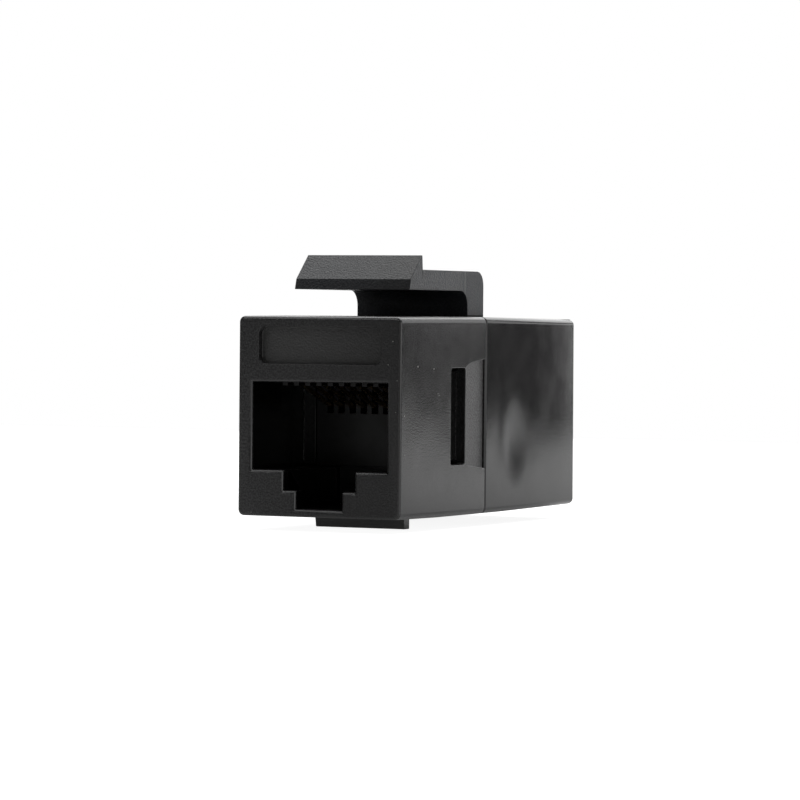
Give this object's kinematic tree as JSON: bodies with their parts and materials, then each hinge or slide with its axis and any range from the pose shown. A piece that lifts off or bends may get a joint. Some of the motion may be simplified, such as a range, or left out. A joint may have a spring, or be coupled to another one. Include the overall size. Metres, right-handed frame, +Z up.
{
  "type": "ethernet inline coupler",
  "caption": "Black inline network coupler for a wall-plate opening, with a plug port at each end and a sprung latch on top.",
  "frame": {"origin": "centre of the front face, between the side walls and half way up the housing", "axes": "+X to the right seen from the front, +Y from the front port to the rear port, +Z up towards the latch"},
  "size_m": [0.0144, 0.035, 0.0222],
  "materials": {
    "housing_plastic": "fine spark-eroded moulded texture, semi-matt",
    "insert_plastic": "smooth moulded",
    "contact_metal": "thin gold plating on spring bronze",
    "board_laminate": "green solder mask"
  },
  "bodies": {
    "housing": {"front_housing": "housing_plastic", "rear_housing": "housing_plastic", "front_contact_insert": "insert_plastic", "rear_contact_insert": "insert_plastic", "circuit_board": "board_laminate", "front_contact_1": "contact_metal", "front_contact_2": "contact_metal", "front_contact_3": "contact_metal", "front_contact_4": "contact_metal", "front_contact_5": "contact_metal", "front_contact_6": "contact_metal", "front_contact_7": "contact_metal", "front_contact_8": "contact_metal", "rear_contact_1": "contact_metal", "rear_contact_2": "contact_metal", "rear_contact_3": "contact_metal", "rear_contact_4": "contact_metal", "rear_contact_5": "contact_metal", "rear_contact_6": "contact_metal", "rear_contact_7": "contact_metal", "rear_contact_8": "contact_metal"},
    "latch": {"latch_arm": "housing_plastic"},
    "front_springs": {"front_spring_1": "contact_metal", "front_spring_2": "contact_metal", "front_spring_3": "contact_metal", "front_spring_4": "contact_metal", "front_spring_5": "contact_metal", "front_spring_6": "contact_metal", "front_spring_7": "contact_metal", "front_spring_8": "contact_metal"},
    "rear_springs": {"rear_spring_1": "contact_metal", "rear_spring_2": "contact_metal", "rear_spring_3": "contact_metal", "rear_spring_4": "contact_metal", "rear_spring_5": "contact_metal", "rear_spring_6": "contact_metal", "rear_spring_7": "contact_metal", "rear_spring_8": "contact_metal"}
  },
  "joints": [
    {"name": "latch_flex", "type": "hinge", "parent": "housing", "child": "latch", "pos_m": [0, 0.01521, 0.01106], "axis": [1, 0, 0], "range_deg": [0, 12], "stiffness_Nm_per_rad": 0.6},
    {"name": "front_contacts_lift", "type": "hinge", "parent": "housing", "child": "front_springs", "pos_m": [0, 0.0026, 0.0031], "axis": [1, 0, 0], "range_deg": [0, 16], "stiffness_Nm_per_rad": 0.2},
    {"name": "rear_contacts_lift", "type": "hinge", "parent": "housing", "child": "rear_springs", "pos_m": [0, 0.0324, 0.0031], "axis": [-1, 0, 0], "range_deg": [0, 16], "stiffness_Nm_per_rad": 0.2}
  ]
}
